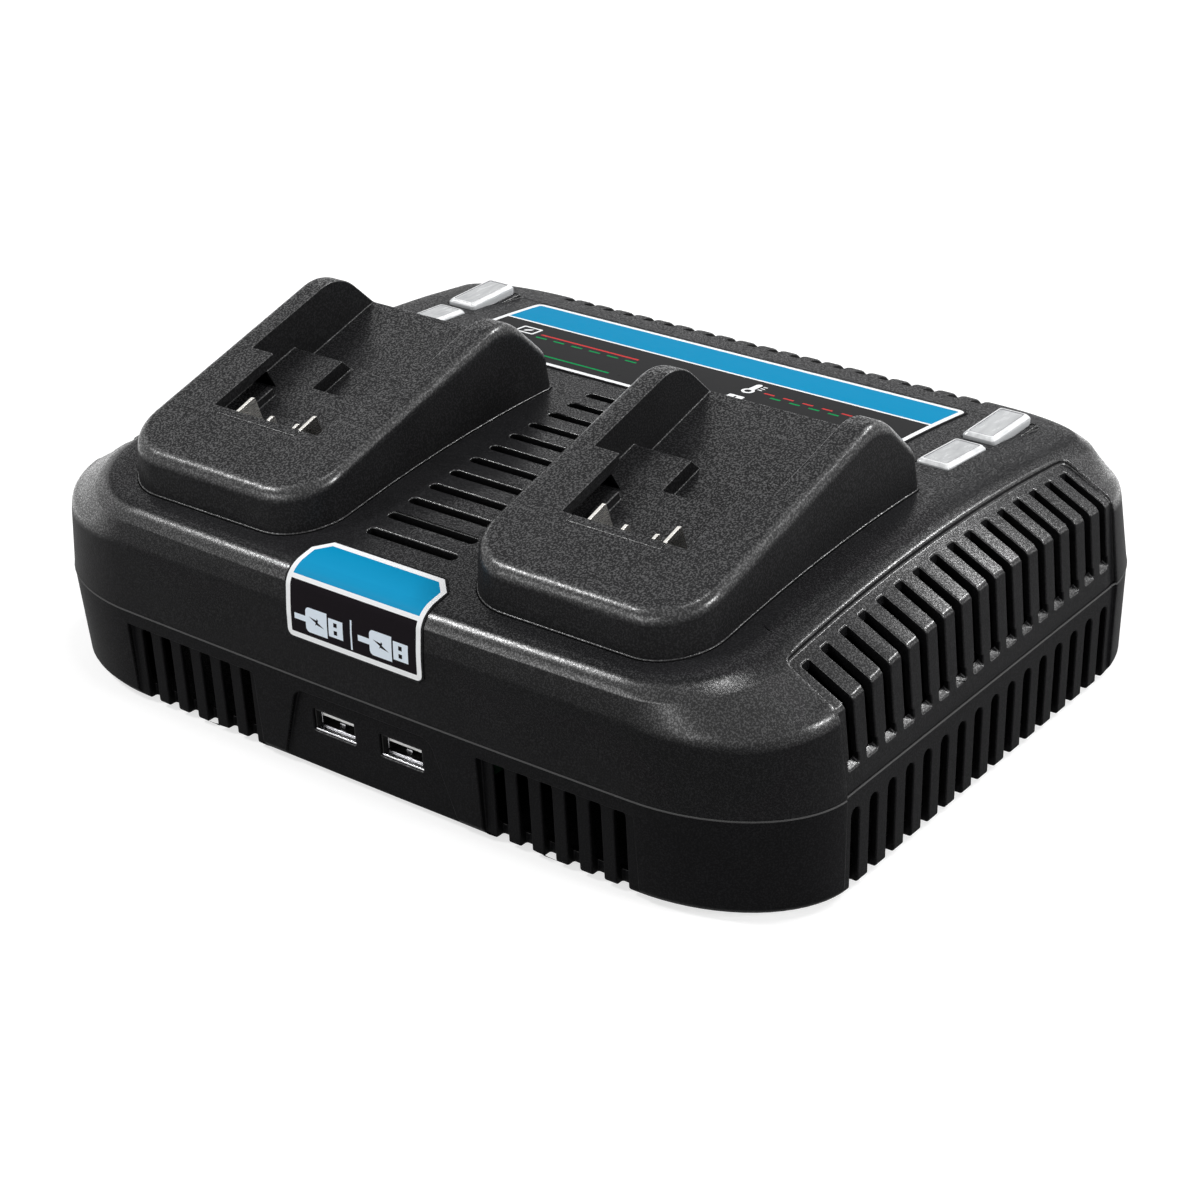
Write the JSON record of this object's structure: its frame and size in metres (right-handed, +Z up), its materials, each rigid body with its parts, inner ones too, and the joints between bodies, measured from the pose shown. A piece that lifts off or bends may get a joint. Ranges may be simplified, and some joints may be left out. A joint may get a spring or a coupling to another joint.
{
  "type": "power tool battery charger",
  "caption": "Mains charger with sloping bays that power tool batteries slide into, charging outlets in front and vent slots around the black housing.",
  "frame": {"origin": "bottom centre of the overall box: the middle of the body's width and depth, at the underside of the feet", "axes": "+X to the user's right along the body's width, +Y to the rear, +Z up"},
  "size_m": [0.239, 0.1773, 0.0863],
  "materials": {
    "cover_plastic": "fine leather-grain black ABS with a satin sheen",
    "base_plastic": "fine-grained black ABS, slightly duller than the cover",
    "dock_plastic": "coarse spark-eroded grain, black glass-filled plastic",
    "nickel": "nickel-plated brass blades",
    "port_steel": "bright tinned steel shell",
    "port_insert": "white moulded tongue",
    "circuit_board": "green solder mask",
    "label_film": "printed polyester film, blue and dark grey with white rules",
    "lens_clear": "clear lens with a frosted middle",
    "ferrite": "sintered ferrite",
    "winding_tape": "yellow transformer tape",
    "capacitor_sleeve": "dark shrink sleeve",
    "sink_aluminium": "extruded, plain",
    "component_black": "moulded epoxy",
    "copper_wire": "enamelled copper wire",
    "fuse_ceramic": "ceramic tube with steel clips",
    "gland_rubber": "moulded bushing",
    "screw_steel": "zinc-plated",
    "foot_rubber": "moulded foot"
  },
  "bodies": {
    "root": {"lower_housing": "base_plastic", "upper_housing": "cover_plastic", "battery_dock_left": "dock_plastic", "battery_dock_right": "dock_plastic", "terminal_block_left": "dock_plastic", "terminal_block_right": "dock_plastic", "terminal_blades_left": "nickel", "terminal_blades_right": "nickel", "usb_shell_left": "port_steel", "usb_shell_right": "port_steel", "usb_tongue_left": "port_insert", "usb_tongue_right": "port_insert", "usb_board": "circuit_board", "main_board": "circuit_board", "front_label": "label_film", "rear_label": "label_film", "lens_left_front": "lens_clear", "lens_left_rear": "lens_clear", "lens_right_front": "lens_clear", "lens_right_rear": "lens_clear", "led_board_left": "circuit_board", "led_board_right": "circuit_board", "transformer_core": "ferrite", "transformer_winding": "winding_tape", "bulk_capacitors": "capacitor_sleeve", "primary_heat_sink": "sink_aluminium", "secondary_heat_sink": "sink_aluminium", "power_transistors": "component_black", "line_choke": "copper_wire", "line_fuse": "fuse_ceramic", "cord_gland": "gland_rubber", "housing_screws": "screw_steel", "board_screws": "screw_steel", "rubber_feet": "foot_rubber"}
  },
  "joints": []
}
